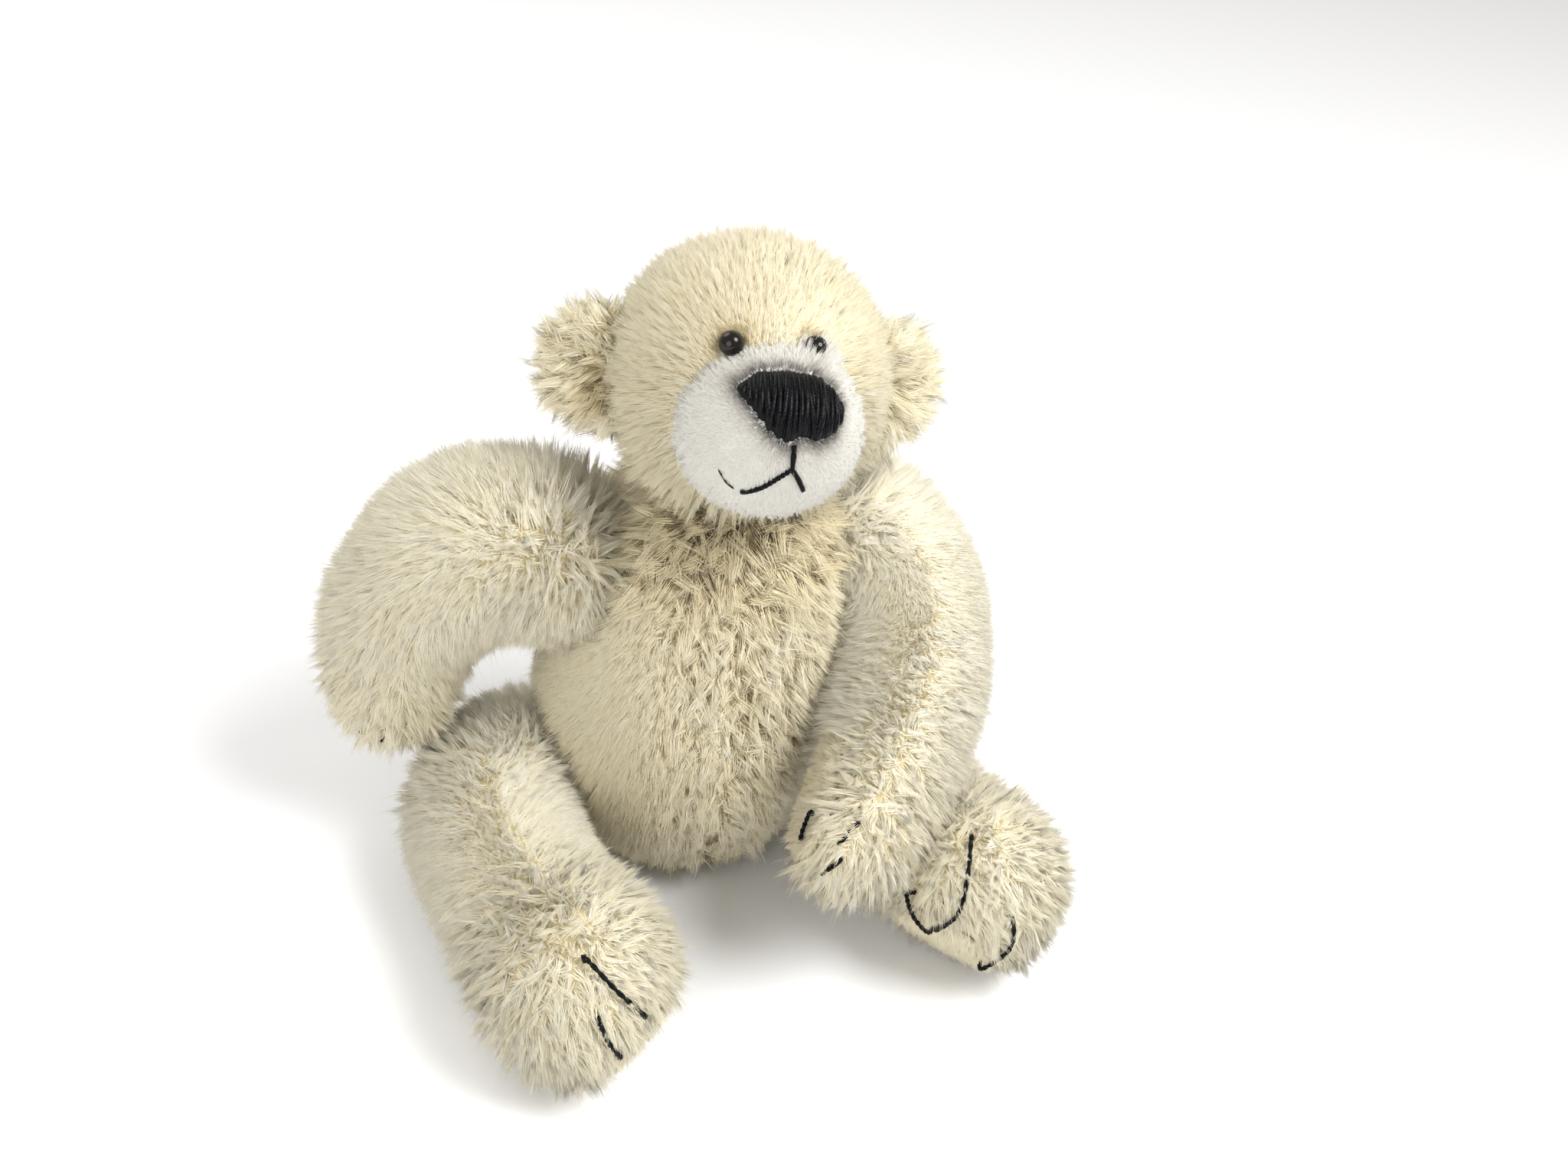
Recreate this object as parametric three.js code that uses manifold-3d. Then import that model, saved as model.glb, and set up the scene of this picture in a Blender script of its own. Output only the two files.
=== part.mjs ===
// Jointed mohair teddy bear, sitting, 18 cm tall when it stands.
// Millimetres, +Z up. The bear faces -Y and its left side is +X.
// The origin is the middle of the flat seat under the body.

import * as THREE from 'three';
import { mergeVertices } from 'three/addons/utils/BufferGeometryUtils.js';
import Module from 'manifold-3d';

const wasm = await Module();
wasm.setup();

// ---------------------------------------------------------------- driving dimensions

const SKIN = 1.0;          // woven backing with the dense root of its pile
const GAP = 0.3;           // clearance between pieces that touch
const SEAM = 0.3;          // width of a sewn seam between two panels
const PAD = 0.9;           // felt of the paw and foot pads
const THREAD_R = 0.5;      // stitching thread
const PIN_R = 1.0;         // split pin of a disc joint
const HOLE_R = 1.35;       // hole in each disc, washer and skin for the pin
const DISC_T = 1.5;        // fibreboard joint disc
const WASHER_T = 0.6;      // steel washer behind the disc
const WASHER_R = 4.0;
const EYE_R = 2.0;         // glass bead eye
const FAR = 60;            // half size of the blocks that cut a solid
const SIMPLIFY = 0.05;     // largest change of a surface when its mesh is thinned

const NECK = { name: 'neck', at: [4, -3, 79], axis: [0, 0, 1], disc: 6 };
const SHOULDER_RIGHT = { name: 'shoulder_right', at: [-15.8, 0, 62], axis: [-1, 0, 0], disc: 5.4 };
const SHOULDER_LEFT = { name: 'shoulder_left', at: [19.8, 0, 60], axis: [1, 0, 0], disc: 5.4 };
const HIP_RIGHT = { name: 'hip_right', at: [-22, 0, 14.5], axis: [-1, 0, 0], disc: 6.3 };
const HIP_LEFT = { name: 'hip_left', at: [22, 0, 14.5], axis: [1, 0, 0], disc: 6.3 };

// Body outline: [half width, height] from the edge of the flat seat to the neck.
const BODY = [[14, 0], [20, 3], [24.6, 13], [27, 27], [26.4, 41], [23.4, 54], [21.2, 62],
  [19.2, 67], [15.6, 72.5], [12.2, 76.4], [9.8, 78.85]];
const BODY_DEPTH = 0.96;   // depth of the body over its width

// Head: a ball, with a rounded muzzle on its front, in the head's own frame.
const HEAD = { centre: [5, -4, 98.2], radii: [21.5, 21.5, 21], yaw: -10, pitch: 20, roll: 2.5 };
const MUZZLE = { centre: [0.8, -16.5, -6.0], radii: [14.6, 13.8, 13.4] };
const GUSSET = 6.8;        // half width of the strip over the top of the head
const EAR = { centre: [22.6, 2, -0.8], radii: [10, 3.2, 8.3], sweep: 25 };
const EYE = { side: 6.6, front: -20.2, up: 7.1 };

// Limbs: stations [x, y, z, radius] from the joint end to the tip.
const ARM_RIGHT = {
  name: 'arm_right', joint: SHOULDER_RIGHT, inward: [0.7, 0, -0.7],
  stations: [[-27, 0.5, 63, 13.4], [-37, 2.5, 65.4, 14.5], [-45.4, 5, 59, 13.8],
    [-51.5, 7, 47, 12], [-53, 7, 33.4, 10.3]],
  pad: { name: 'paw_pad', normal: [0.88, 0.2, -0.42], offset: 7.2 },
  claws: [[[0.1, -0.82, -0.56], [0.24, -0.6, -0.76]], [[-0.35, -0.72, -0.6], [-0.12, -0.52, -0.85]],
    [[-0.7, -0.45, -0.55], [-0.42, -0.3, -0.86]]],
};
const ARM_LEFT = {
  name: 'arm_left', joint: SHOULDER_LEFT, inward: [-1, 0, 0],
  stations: [[29.8, -0.5, 60.8, 13], [36, -6, 56.8, 13.5], [37.8, -14, 49.2, 13.2],
    [33, -26.5, 41.2, 12.3], [24.5, -38, 35.8, 11.1], [15.8, -46.5, 30.9, 10.3]],
  pad: { name: 'paw_pad', normal: [-0.87, 0.32, 0.37], offset: 7.8 },
  claws: [[[-0.8, 0, 0.6], [-0.96, -0.14, 0.24]], [[-0.23, -0.59, 0.77], [-0.52, -0.68, 0.52]],
    [[-0.55, -0.8, 0.22], [-0.74, -0.66, -0.13]]],
};
const LEG_RIGHT = {
  name: 'leg_right', joint: HIP_RIGHT, inward: [1, 0, 0],
  stations: [[-31.8, 0, 15.2, 13.4], [-38.8, -9.5, 14.6, 13.9], [-39.2, -23, 14, 13.5],
    [-36, -39, 14, 13.5], [-33.2, -54, 15.8, 15.5]],
  pad: { name: 'foot_pad', normal: [0.65, -0.5, -0.57], offset: 11.8 },
  claws: [[[-0.1, -0.5, 0.86], [0.14, -0.76, 0.63], [0.4, -0.86, 0.32]],
    [[-0.1, -0.83, 0.55], [0.02, -0.96, 0.28], [0.2, -0.97, -0.12]]],
};
const LEG_LEFT = {
  name: 'leg_left', joint: HIP_LEFT, inward: [-1, 0, 0],
  stations: [[31.8, 0, 14.5, 12.8], [38.2, -9.5, 13.7, 12.7], [39.8, -22, 12.8, 12.1],
    [40.6, -36, 13.3, 12.7], [40.8, -49, 15.9, 15.6]],
  pad: { name: 'foot_pad', normal: [-0.65, -0.5, -0.57], offset: 11.8 },
  claws: [[[-0.22, -0.25, 0.94], [-0.43, -0.65, 0.63], [-0.55, -0.8, 0.25], [-0.7, -0.72, 0.04]],
    [[-0.05, -0.93, 0.36], [-0.04, -0.99, 0], [-0.25, -0.9, -0.36]],
    [[-0.93, -0.26, 0.26], [-0.9, -0.42, 0.1], [-0.8, -0.6, 0.02]]],
};
const LIMBS = [ARM_RIGHT, ARM_LEFT, LEG_RIGHT, LEG_LEFT];
const BODY_JOINTS = [NECK, SHOULDER_RIGHT, SHOULDER_LEFT, HIP_RIGHT, HIP_LEFT];

// ---------------------------------------------------------------- materials

function material(color, roughness, metalness = 0) {
  return new THREE.MeshStandardMaterial({ color, roughness, metalness });
}

const MOHAIR = material(0xe9dfc4, 0.95);
const VELOUR = material(0xf1efe8, 0.9);
const FELT = material(0xe6e3db, 0.95);
const STUFFING = material(0xf4f2ec, 1);
const SHOT_CLOTH = material(0xb9b0a0, 0.95);
const THREAD = material(0x17191b, 0.55);
const GLASS = material(0x0a0908, 0.08);
const FIBREBOARD = material(0x7a5a3a, 0.85);
const STEEL = material(0x9a9c9e, 0.35, 1);

// ---------------------------------------------------------------- solids

const vector = ([x, y, z]) => new THREE.Vector3(x, y, z);

function toSolid(geometry) {
  geometry.deleteAttribute('normal');
  geometry.deleteAttribute('uv');
  const merged = mergeVertices(geometry, 1e-4);
  const vertProperties = new Float32Array(merged.attributes.position.array);
  const triVerts = new Uint32Array(merged.index.array);
  const solid = new wasm.Manifold(new wasm.Mesh({ numProp: 3, vertProperties, triVerts }));
  if (solid.volume() > 0) return solid;
  for (let i = 0; i < triVerts.length; i += 3) {
    [triVerts[i], triVerts[i + 1]] = [triVerts[i + 1], triVerts[i]];
  }
  return new wasm.Manifold(new wasm.Mesh({ numProp: 3, vertProperties, triVerts }));
}

function toGeometry(solid) {
  const { vertProperties, triVerts } = solid.simplify(SIMPLIFY).getMesh();
  const geometry = new THREE.BufferGeometry();
  geometry.setAttribute('position', new THREE.BufferAttribute(vertProperties, 3));
  geometry.setIndex(new THREE.BufferAttribute(triVerts, 1));
  geometry.computeVertexNormals();
  return geometry;
}

function moved(solid, matrix) {
  return solid.transform([...matrix.elements]);
}

// The largest closed piece of a solid, without any crumb that a cut leaves.
function largest(solid) {
  return solid.decompose().reduce((a, b) => (a.volume() > b.volume() ? a : b));
}

function ball(radii, wide = 24, high = 14) {
  return toSolid(new THREE.SphereGeometry(1, wide, high).scale(...radii));
}

function ballAt(centre, radius, wide = 10, high = 7) {
  return toSolid(new THREE.SphereGeometry(radius, wide, high).translate(...centre));
}

// A cylinder along Z from one height to another.
function drum(radius, low, high, sides = 16) {
  const geometry = new THREE.CylinderGeometry(radius, radius, high - low, sides);
  return toSolid(geometry.rotateX(Math.PI / 2).translate(0, 0, (low + high) / 2));
}

// A block on the far side of the plane at offset from a point, along a normal.
function beyond(point, normal, offset, half = FAR) {
  const n = vector(normal).normalize();
  const turn = new THREE.Quaternion().setFromUnitVectors(new THREE.Vector3(0, 0, 1), n);
  const block = new THREE.BoxGeometry(2 * half, 2 * half, 2 * half).translate(0, 0, half);
  const place = vector(point).addScaledVector(n, offset);
  return moved(toSolid(block), new THREE.Matrix4().compose(place, turn, new THREE.Vector3(1, 1, 1)));
}

function box(low, high) {
  const size = high.map((v, i) => v - low[i]);
  const middle = high.map((v, i) => (v + low[i]) / 2);
  return toSolid(new THREE.BoxGeometry(...size).translate(...middle));
}

// A round cord along a smooth curve through the points.
function cord(points, radius, steps, sides = 6) {
  const outline = new THREE.Shape();
  for (let i = 0; i < sides; i += 1) {
    const turn = (2 * Math.PI * i) / sides;
    const put = i === 0 ? 'moveTo' : 'lineTo';
    outline[put](radius * Math.cos(turn), radius * Math.sin(turn));
  }
  outline.closePath();
  const extrudePath = new THREE.CatmullRomCurve3(points.map(vector), false, 'centripetal');
  return toSolid(new THREE.ExtrudeGeometry(outline, { steps, extrudePath, bevelEnabled: false }));
}

// ---------------------------------------------------------------- limbs

// The line down the middle of a limb. It is read by station number, and beyond its ends
// by millimetres.
function spineOf(limb) {
  const points = limb.stations.map(([x, y, z]) => new THREE.Vector3(x, y, z));
  const curve = new THREE.CatmullRomCurve3(points, false, 'centripetal');
  const last = points.length - 1;
  const inward = vector(limb.inward);
  return (along) => {
    const station = THREE.MathUtils.clamp(along, 0, last);
    const tangent = curve.getTangent(station / last);
    const side = inward.clone().addScaledVector(tangent, -inward.dot(tangent)).normalize();
    const top = new THREE.Vector3().crossVectors(side, tangent);
    const origin = curve.getPoint(station / last).addScaledVector(tangent, along - station);
    return { origin, side, top };
  };
}

// Bends a shape built along Y onto a limb: X becomes its top and Z its inward side.
function bend(geometry, limb) {
  const spine = spineOf(limb);
  const position = geometry.attributes.position;
  for (let i = 0; i < position.count; i += 1) {
    const { origin, side, top } = spine(position.getY(i));
    origin.addScaledVector(top, position.getX(i)).addScaledVector(side, position.getZ(i));
    position.setXYZ(i, origin.x, origin.y, origin.z);
  }
  return geometry;
}

// A limb with round ends, shrunk all over by inset.
function sausage(limb, inset, sides = 8, rowsPerStation = 1, capRows = 3) {
  const radii = limb.stations.map((station) => station[3]);
  const last = radii.length - 1;
  const widths = new THREE.SplineCurve(radii.map((radius, i) => new THREE.Vector2(i, radius)));
  const profile = [];
  const first = radii[0] - inset;
  for (let i = 0; i < capRows; i += 1) {
    const turn = (Math.PI / 2) * (1 - i / capRows);
    profile.push(new THREE.Vector2(i === 0 ? 0 : first * Math.cos(turn), -first * Math.sin(turn)));
  }
  for (let i = 0; i <= last * rowsPerStation; i += 1) {
    const point = widths.getPoint(i / (last * rowsPerStation));
    profile.push(new THREE.Vector2(point.y - inset, point.x));
  }
  const end = radii[last] - inset;
  for (let i = 1; i <= capRows; i += 1) {
    const turn = (Math.PI / 2) * (i / capRows);
    profile.push(new THREE.Vector2(i === capRows ? 0 : end * Math.cos(turn), last + end * Math.sin(turn)));
  }
  return toSolid(bend(new THREE.LatheGeometry(profile, sides), limb));
}

// The thin wall of space where a limb's two panels meet, a little wider than the limb.
function seamWall(limb) {
  const last = limb.stations.length - 1;
  const rows = Array.from({ length: 2 * last + 1 }, (_, i) => i / 2);
  const along = [-16, ...rows, last + 18];
  const wall = new THREE.BoxGeometry(1, 1, SEAM, 1, along.length - 1, 1);
  const position = wall.attributes.position;
  for (let i = 0; i < position.count; i += 1) {
    const row = along[Math.round((position.getY(i) + 0.5) * (along.length - 1))];
    const nearest = limb.stations[THREE.MathUtils.clamp(Math.round(row), 0, last)];
    position.setX(i, Math.sign(position.getX(i)) * (nearest[3] + 1.6));
    position.setY(i, row);
  }
  return toSolid(bend(wall, limb));
}

// A point on the round end of a limb, at a height above its skin.
function onTip(limb, direction, height) {
  const [x, y, z, radius] = limb.stations.at(-1);
  return new THREE.Vector3(x, y, z)
    .addScaledVector(vector(direction).normalize(), radius + height).toArray();
}

// One thread per paw: each claw is a stitch on top of the fur's backing, and the thread
// runs on to the next claw under the skin.
function clawPath(limb) {
  const above = GAP + THREAD_R;
  const below = -(SKIN + GAP + 3 * THREAD_R);
  const points = [];
  for (const claw of limb.claws) {
    points.push(onTip(limb, claw[0], below));
    points.push(...claw.map((direction) => onTip(limb, direction, above)));
    points.push(onTip(limb, claw.at(-1), below));
  }
  return points;
}

function clawThread(limb, clearance = 0) {
  const path = clawPath(limb);
  return cord(path, THREAD_R + clearance, path.length * 2, 4);
}

// ---------------------------------------------------------------- disc joints

// The matrix of a joint's own frame: origin on the joint, Z along its axis into the limb.
function jointMatrix(joint) {
  const up = new THREE.Vector3(0, 0, 1);
  const turn = new THREE.Quaternion().setFromUnitVectors(up, vector(joint.axis));
  return new THREE.Matrix4().compose(vector(joint.at), turn, new THREE.Vector3(1, 1, 1));
}

function inJoint(joint, solid) {
  return moved(solid, jointMatrix(joint));
}

const FACE = GAP / 2;                                  // from the joint plane to a skin
const DISC_AT = FACE + SKIN + GAP;                     // to the near face of a disc
const WASHER_AT = DISC_AT + DISC_T + GAP;
const PIN_AT = WASHER_AT + WASHER_T + GAP;             // to the pin's cross bar or its curls
const PIN_END = PIN_AT + 2 * PIN_R + 3.4;              // the end of the room for them

// The pocket in the stuffing of one side (+1 limb, -1 body) for disc, washer and pin.
function pocket(joint, sign) {
  const ends = (from, to) => (sign > 0 ? [from, to] : [-to, -from]);
  const disc = drum(joint.disc + 2 * GAP, ...ends(-FACE, DISC_AT + DISC_T + GAP), 16);
  const pin = drum(WASHER_R + 2 * GAP, ...ends(0, PIN_END), 12);
  return inJoint(joint, disc.add(pin));
}

function pinHole(joint) {
  return inJoint(joint, drum(HOLE_R, -FAR / 4, FAR / 4, 10));
}

// The flat that a joint disc presses into a skin: limb side and body side.
function limbFlat(joint, inset) {
  return inJoint(joint, drum(14, -FAR / 4, FACE + inset));
}

function bodyDish(joint, inset) {
  const bottom = -FACE - inset;
  const depth = 8;
  const flat = joint.disc + 3.8;
  const profile = [[0, bottom], [flat, bottom], [flat + depth, bottom + depth],
    [flat + depth, bottom + 2 * depth], [0, bottom + 2 * depth]];
  const dish = new THREE.LatheGeometry(profile.map(([x, y]) => new THREE.Vector2(x, y)), 16);
  return inJoint(joint, toSolid(dish.rotateX(Math.PI / 2)));
}

function ring(outer, thick, sides) {
  const profile = [[HOLE_R, 0], [outer, 0], [outer, thick], [HOLE_R, thick], [HOLE_R, 0]];
  const lathe = new THREE.LatheGeometry(profile.map(([x, y]) => new THREE.Vector2(x, y)), sides);
  return toSolid(lathe.rotateX(Math.PI / 2));
}

// A split pin: a cross bar in the limb, a shank, and two legs curled back in the body.
function splitPin() {
  const bar = toSolid(new THREE.CylinderGeometry(PIN_R, PIN_R, 6, 7)
    .rotateZ(Math.PI / 2).translate(0, 0, PIN_AT + PIN_R));
  const shank = drum(PIN_R, -PIN_AT - PIN_R, PIN_AT + PIN_R, 8);
  const curl = (sign) => cord([[0, 0, -PIN_AT - 0.4], [sign * 0.9, 0, -PIN_AT - 1.9],
    [sign * 2.3, 0, -PIN_AT - 2.3], [sign * 3.2, 0, -PIN_AT - 1.2]], 0.65, 5, 5);
  return bar.add(shank).add(curl(1)).add(curl(-1));
}

// ---------------------------------------------------------------- building blocks

const bear = new THREE.Group();

function addMesh(group, name, solid, look) {
  const mesh = new THREE.Mesh(toGeometry(solid), look);
  mesh.name = name;
  group.add(mesh);
  return mesh;
}

// The body side of a joint: pin, disc and washer. The limb side is a disc and a washer.
function addHardware(joint, group, limbSide) {
  const place = new THREE.Group();
  place.applyMatrix4(jointMatrix(joint));
  group.add(place);
  const side = limbSide ? limbSide : 'body';
  const near = (from, thick) => (limbSide ? from : -from - thick);
  const disc = addMesh(place, `${joint.name}_${side}_disc`, ring(joint.disc, DISC_T, 14), FIBREBOARD);
  disc.position.z = near(DISC_AT, DISC_T);
  const washer = addMesh(place, `${joint.name}_${side}_washer`, ring(WASHER_R, WASHER_T, 10), STEEL);
  washer.position.z = near(WASHER_AT, WASHER_T);
  if (!limbSide) addMesh(place, `${joint.name}_split_pin`, splitPin(), STEEL);
}

// Splits a skin at a seam and returns [inner panel, outer panel].
function panels(skin, wall, inward) {
  const halves = skin.subtract(wall).decompose();
  const [a, b] = halves.sort((p, q) => q.volume() - p.volume());
  const depth = (solid) => {
    const { min, max } = solid.boundingBox();
    return vector(min).add(vector(max)).dot(vector(inward));
  };
  return depth(a) > depth(b) ? [a, b] : [b, a];
}

// ---------------------------------------------------------------- the body

function bodySolid(inset, sides) {
  const top = NECK.at[2];
  const outline = new THREE.SplineCurve(BODY.map(([w, h]) => new THREE.Vector2(w, h)));
  const seat = new THREE.Vector2(0, inset);
  const profile = [seat];
  const rows = BODY.length;
  for (let i = 0; i <= rows; i += 1) {
    const point = outline.getPoint(i / rows);
    const height = THREE.MathUtils.clamp(point.y, inset, top - FACE - inset);
    profile.push(new THREE.Vector2(point.x - inset, height));
  }
  profile.push(new THREE.Vector2(0, top - FACE - inset));
  const lathe = new THREE.LatheGeometry(profile, sides).rotateX(Math.PI / 2).scale(1, BODY_DEPTH, 1);
  const position = lathe.attributes.position;
  for (let i = 0; i < position.count; i += 1) {
    const lean = (position.getZ(i) / top) ** 2;
    position.setX(i, position.getX(i) + NECK.at[0] * lean);
    position.setY(i, position.getY(i) + NECK.at[1] * lean);
  }
  const sideJoints = BODY_JOINTS.filter((joint) => joint !== NECK);
  return sideJoints.reduce((solid, joint) => solid.subtract(bodyDish(joint, inset)), toSolid(lathe));
}

// The body's centre seam leans with the body, and passes just beside the origin.
function centreSeam() {
  const start = -1.2;
  const lean = new THREE.Matrix4().makeShear(0, 0, 0, 0, (NECK.at[0] - start) / NECK.at[2], 0);
  const wall = box([start - SEAM / 2, -FAR, -FAR], [start + SEAM / 2, FAR, 2 * FAR]);
  return moved(wall, lean);
}

function addBody() {
  const group = new THREE.Group();
  const holes = BODY_JOINTS.map(pinHole);
  const hollow = bodySolid(0, 20).subtract(bodySolid(SKIN, 14));
  const skin = holes.reduce((solid, hole) => solid.subtract(hole), hollow);
  const [left, right] = panels(skin, centreSeam(), [1, 0, 0]);
  addMesh(group, 'body_panel_left', left, MOHAIR);
  addMesh(group, 'body_panel_right', right, MOHAIR);

  const bag = toSolid(new THREE.SphereGeometry(1, 12, 8).scale(13, 12, 6.5).translate(0, 0, 10));
  const room = toSolid(new THREE.SphereGeometry(1, 12, 8).scale(13.4, 12.4, 6.9).translate(0, 0, 10))
    .add(drum(10, -2, 10, 12));
  const filling = BODY_JOINTS.reduce((solid, joint) => solid.subtract(pocket(joint, -1)),
    bodySolid(SKIN + GAP, 14).subtract(room));
  addMesh(group, 'body_stuffing', largest(filling), STUFFING);
  addMesh(group, 'shot_bag', bag, SHOT_CLOTH);
  BODY_JOINTS.forEach((joint) => addHardware(joint, group));
  bear.add(group);
}

// ---------------------------------------------------------------- the head

const headMatrix = new THREE.Matrix4().compose(
  vector(HEAD.centre),
  new THREE.Quaternion().setFromEuler(new THREE.Euler(
    -THREE.MathUtils.degToRad(HEAD.pitch), THREE.MathUtils.degToRad(HEAD.roll),
    THREE.MathUtils.degToRad(HEAD.yaw), 'ZXY')),
  new THREE.Vector3(1, 1, 1));
const headMatrixBack = headMatrix.clone().invert();

// The neck joint's flat cuts the head at a height above the joint plane.
function neckCut(inset) {
  return moved(beyond(NECK.at, [0, 0, -1], -FACE - inset), headMatrixBack);
}

function inHeadFrame(solid) {
  return moved(solid, headMatrixBack);
}

function headBall(inset, wide = 18, high = 11) {
  return ball(HEAD.radii.map((radius) => radius - inset), wide, high);
}

function muzzleBall(inset, wide = 18, high = 10) {
  const radii = MUZZLE.radii.map((radius) => radius - inset);
  return moved(ball(radii, wide, high), new THREE.Matrix4().makeTranslation(...MUZZLE.centre));
}

function eyeCentre(sign) {
  return [sign * EYE.side, EYE.front, EYE.up];
}

function eyeSolid(sign, clearance = 0) {
  const centre = vector(eyeCentre(sign));
  const inwards = centre.clone().normalize().multiplyScalar(-1);
  const shankEnd = centre.clone().addScaledVector(inwards, 7);
  const shank = cord([centre.toArray(), shankEnd.toArray()], 0.5 + clearance, 1);
  return ballAt(centre.toArray(), EYE_R + clearance).add(shank);
}

function earSolid(sign) {
  const sweep = new THREE.Matrix4().makeRotationZ(sign * THREE.MathUtils.degToRad(EAR.sweep));
  const [x, y, z] = EAR.centre;
  const place = new THREE.Matrix4().makeTranslation(sign * x, y, z).multiply(sweep);
  const plate = ball(EAR.radii, 12, 7);
  const cup = moved(ball([7.5, 3, 6.5], 10, 6), new THREE.Matrix4().makeTranslation(sign * 3, -3.4, 0));
  return largest(moved(plate.subtract(cup), place).subtract(headBall(-GAP)));
}

// A flat outline in the face's plane, pushed back through the muzzle.
function facePrism(outline) {
  const shape = new THREE.Shape(outline.getPoints(18).slice(0, -1));
  const prism = new THREE.ExtrudeGeometry(shape, { depth: 24, bevelEnabled: false });
  return toSolid(prism.rotateX(Math.PI / 2).translate(0, -14, 0));
}

// The nose is a raised block of satin stitch, a triangle with round corners.
function noseSolid() {
  const rim = [[-5.9, 1.3], [-3.2, 3.6], [0.9, 4.2], [5.4, 3.6], [8.5, 1.7], [9.9, -0.85], [9.4, -2.95],
    [8.1, -4.85], [5.8, -5.55], [1.3, -6.0], [-1.4, -4.2], [-3.6, -1.7], [-5.2, 0.4]];
  const outline = new THREE.CatmullRomCurve3(rim.map(([x, z]) => new THREE.Vector3(x, z, 0)), true);
  const layer = muzzleBall(-GAP - 1.5).subtract(muzzleBall(-GAP));
  return largest(layer.intersect(facePrism(outline)).subtract(headBall(-GAP)));
}

// A point on the muzzle in front of a place in the face's plane, at a height above it.
function onMuzzle([x, z], height) {
  const [cx, cy, cz] = MUZZLE.centre;
  const [rx, ry, rz] = MUZZLE.radii.map((radius) => radius + height);
  const rest = 1 - ((x - cx) / rx) ** 2 - ((z - cz) / rz) ** 2;
  return [x, cy - ry * Math.sqrt(rest), z];
}

// The mouth is an upside-down Y of single stitches under the nose.
function mouthSolid() {
  const above = GAP + THREAD_R + 0.05;
  const stitch = (places) => cord(places.map((place) => onMuzzle(place, above)), THREAD_R, 6, 5);
  const stem = stitch([[2.2, -7.6], [2.3, -9], [2.4, -10.8]]);
  const rightLip = stitch([[2.5, -10.2], [0.4, -11.7], [-1.6, -13.4], [-3.6, -14.5], [-4.6, -14.6]]);
  const leftLip = stitch([[2.2, -10.2], [3.6, -11.8], [5.0, -13.9]]);
  return stem.add(rightLip).add(leftLip);
}

function addHead() {
  const group = new THREE.Group();
  group.applyMatrix4(headMatrix);
  const sockets = eyeSolid(1, GAP).add(eyeSolid(-1, GAP));
  const shell = headBall(0).subtract(neckCut(0))
    .subtract(headBall(SKIN, 12, 7).subtract(neckCut(SKIN)))
    .subtract(muzzleBall(0.8, 12, 7)).subtract(sockets).subtract(inHeadFrame(pinHole(NECK)));
  const strip = (half) => box([-half, -FAR, 4], [half, FAR, FAR])
    .add(box([-half, 8, -FAR], [half, FAR, FAR]));
  const sides = shell.subtract(strip(GUSSET + SEAM));
  const wall = box([-SEAM / 2, -FAR, -FAR], [SEAM / 2, FAR, FAR]);
  const [left, right] = panels(sides, wall, [1, 0, 0]);
  addMesh(group, 'head_panel_left', left, MOHAIR);
  addMesh(group, 'head_panel_right', right, MOHAIR);
  addMesh(group, 'head_gusset', largest(shell.intersect(strip(GUSSET))), MOHAIR);

  const cover = muzzleBall(0).subtract(muzzleBall(0.8, 12, 7)).subtract(headBall(-GAP)).subtract(sockets);
  addMesh(group, 'muzzle_cover', largest(cover), VELOUR);
  const filling = headBall(SKIN + GAP, 12, 7).subtract(neckCut(SKIN + GAP))
    .add(muzzleBall(0.8 + GAP, 12, 7)).subtract(sockets).subtract(inHeadFrame(pocket(NECK, 1)));
  addMesh(group, 'head_stuffing', largest(filling), STUFFING);
  addMesh(group, 'ear_right', earSolid(-1), MOHAIR);
  addMesh(group, 'ear_left', earSolid(1), MOHAIR);
  addMesh(group, 'eye_right', eyeSolid(-1), GLASS);
  addMesh(group, 'eye_left', eyeSolid(1), GLASS);
  addMesh(group, 'nose_stitching', noseSolid(), THREAD);
  addMesh(group, 'mouth_stitching', mouthSolid(), THREAD);
  bear.add(group);
  addHardware(NECK, bear, 'head');
}

// ---------------------------------------------------------------- arms and legs

function addLimb(limb) {
  const group = new THREE.Group();
  const [x, y, z, radius] = limb.stations.at(-1);
  const sole = (inset) => beyond([x, y, z], limb.pad.normal, limb.pad.offset - inset, radius + 3);
  const carve = clawThread(limb, GAP);
  const whole = sausage(limb, 0, 12, 2).subtract(limbFlat(limb.joint, 0)).subtract(sole(0));
  const pad = whole.intersect(sole(PAD)).subtract(carve);
  const skin = whole.subtract(sausage(limb, SKIN).subtract(limbFlat(limb.joint, SKIN)))
    .subtract(sole(PAD + GAP)).subtract(pinHole(limb.joint)).subtract(carve);
  const [inner, outer] = panels(skin, seamWall(limb), limb.inward);
  addMesh(group, `${limb.name}_inner_panel`, inner, MOHAIR);
  addMesh(group, `${limb.name}_outer_panel`, outer, MOHAIR);
  addMesh(group, `${limb.name}_${limb.pad.name}`, largest(pad), FELT);

  const filling = sausage(limb, SKIN + GAP).subtract(limbFlat(limb.joint, SKIN + GAP))
    .subtract(sole(PAD + GAP)).subtract(pocket(limb.joint, 1)).subtract(carve);
  addMesh(group, `${limb.name}_stuffing`, largest(filling), STUFFING);
  addMesh(group, `${limb.name}_claw_thread`, clawThread(limb), THREAD);
  addHardware(limb.joint, group, limb.name.split('_')[0]);
  bear.add(group);
}

addBody();
addHead();
LIMBS.forEach(addLimb);

export default bear;
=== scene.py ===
"""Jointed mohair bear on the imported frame: stuffed skins, strands of pile, stitched nose, glass eyes."""

import math

import bmesh
import bpy
import numpy as np
from mathutils import Euler, Matrix, Vector
from mathutils.bvhtree import BVHTree
from mathutils.kdtree import KDTree


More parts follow.
